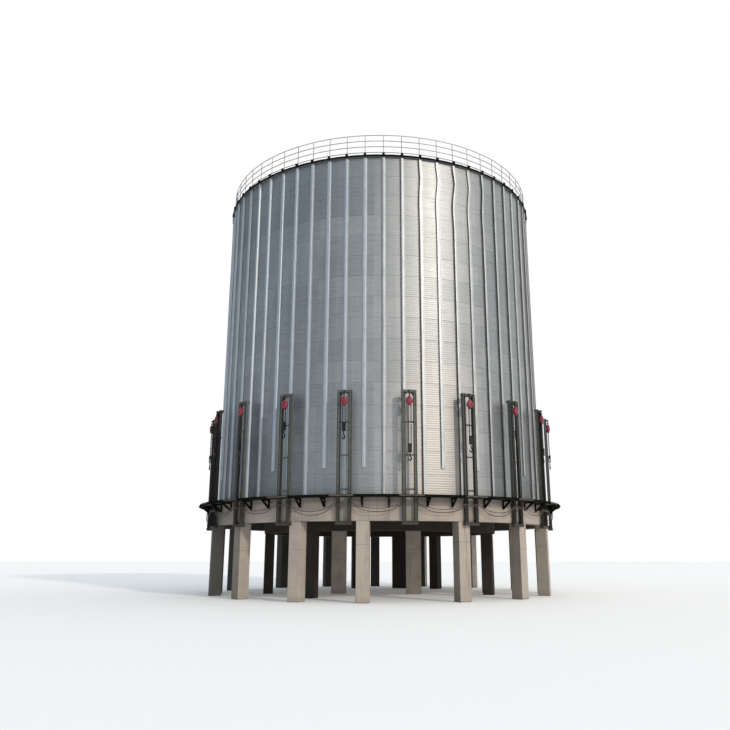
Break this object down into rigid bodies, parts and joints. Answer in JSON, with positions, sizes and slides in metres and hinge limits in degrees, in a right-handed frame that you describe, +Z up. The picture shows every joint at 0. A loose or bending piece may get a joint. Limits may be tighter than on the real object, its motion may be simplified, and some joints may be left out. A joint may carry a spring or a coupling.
{
  "type": "grain silo on a concrete ring beam and columns",
  "caption": "Round corrugated steel grain silo on concrete columns and a ring beam, with a walkway and hoist frames round its base and a handrail at its eave.",
  "frame": {"origin": "on the ground under the silo's axis", "axes": "+Z up along the silo's axis, -Y towards the front, +X to the right seen from the front"},
  "size_m": [20.4984, 20.4984, 26.9637],
  "materials": {
    "concrete": "cast concrete with board marks and stains",
    "shell_steel": "corrugated galvanised sheet",
    "roof_steel": "galvanised roof sheet",
    "dark_steel": "dark painted steel section",
    "rail_steel": "dull galvanised tube",
    "frame_steel": "dark green-grey painted steel, worn",
    "hoist_paint": "red enamel",
    "chain_steel": "oiled black chain",
    "cable_rubber": "black cable sheath"
  },
  "bodies": {
    "root": {"outer_column_01": "concrete", "outer_column_02": "concrete", "outer_column_03": "concrete", "outer_column_04": "concrete", "outer_column_05": "concrete", "outer_column_06": "concrete", "outer_column_07": "concrete", "outer_column_08": "concrete", "outer_column_09": "concrete", "outer_column_10": "concrete", "outer_column_11": "concrete", "outer_column_12": "concrete", "outer_column_13": "concrete", "outer_column_14": "concrete", "outer_column_15": "concrete", "outer_column_16": "concrete", "core_column_1": "concrete", "core_column_2": "concrete", "inner_frame": "concrete", "ring_beam": "concrete", "floor_slab": "concrete", "wall_panel_1": "shell_steel", "wall_panel_2": "shell_steel", "wall_panel_3": "shell_steel", "wall_panel_4": "shell_steel", "wall_panel_5": "shell_steel", "wall_panel_6": "shell_steel", "roof_cone": "roof_steel", "roof_cap": "roof_steel", "eave_ring": "dark_steel", "handrail": "rail_steel", "walkway_deck": "dark_steel", "walkway_frame": "dark_steel", "hoist_frame_01": "frame_steel", "hoist_frame_02": "frame_steel", "hoist_frame_03": "frame_steel", "hoist_frame_04": "frame_steel", "hoist_frame_05": "frame_steel", "hoist_frame_06": "frame_steel", "hoist_frame_07": "frame_steel", "hoist_frame_08": "frame_steel", "hoist_frame_09": "frame_steel", "hoist_frame_10": "frame_steel", "hoist_frame_11": "frame_steel", "hoist_frame_12": "frame_steel", "hoist_frame_13": "frame_steel", "hoist_frame_14": "frame_steel", "hoist_frame_15": "frame_steel", "hoist_frame_16": "frame_steel", "hoist_frame_17": "frame_steel", "hoist_frame_18": "frame_steel", "hoist_frame_19": "frame_steel", "hoist_frame_20": "frame_steel", "hoist_cable_1": "cable_rubber", "hoist_cable_2": "cable_rubber", "hoist_cable_3": "cable_rubber", "hoist_cable_4": "cable_rubber"}
  },
  "joints": []
}
